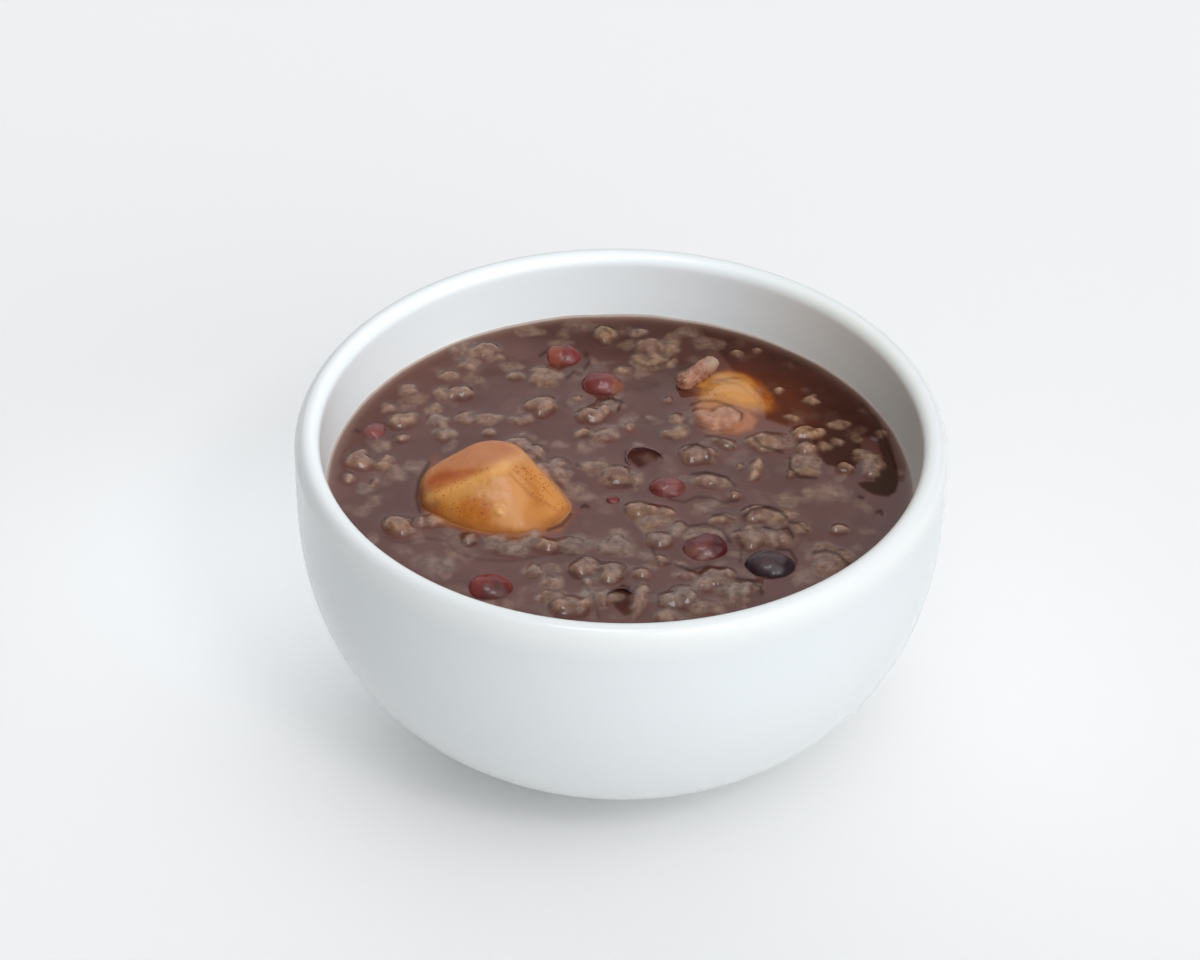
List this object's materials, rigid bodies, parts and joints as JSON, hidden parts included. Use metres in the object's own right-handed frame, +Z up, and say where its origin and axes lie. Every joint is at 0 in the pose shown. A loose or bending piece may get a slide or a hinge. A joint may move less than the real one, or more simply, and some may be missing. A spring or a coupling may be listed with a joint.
{
  "type": "bowl of red bean porridge",
  "caption": "Round white glazed rice bowl filled with thick red bean porridge, with rice grains, red beans and peeled chestnuts floating in it.",
  "frame": {"origin": "middle of the foot ring, on the surface that the bowl stands on", "axes": "+Z up, out of the bowl's mouth; -Y the side towards the viewer of the picture, +X to that viewer's right"},
  "size_m": [0.1204, 0.1204, 0.064],
  "materials": {
    "glaze": "smooth glossy white glaze with a faint cool tint",
    "soup": "wet, glossy, thick red-brown soup with pale brown rice",
    "chestnut": "wet peeled chestnut, yellow to orange brown",
    "bean": "wet boiled bean skin, crimson",
    "dark_bean": "wet boiled bean skin, purple black"
  },
  "bodies": {
    "root": {"bowl": "glaze", "porridge": "soup", "chestnut_front": "chestnut", "chestnut_back": "chestnut", "bean_back_split": "bean", "bean_back": "bean", "bean_left": "bean", "bean_centre": "bean", "bean_scrap": "bean", "bean_right_red": "bean", "bean_right_dark": "dark_bean", "bean_front": "bean", "hull_centre": "dark_bean", "hull_front": "dark_bean"}
  },
  "joints": []
}
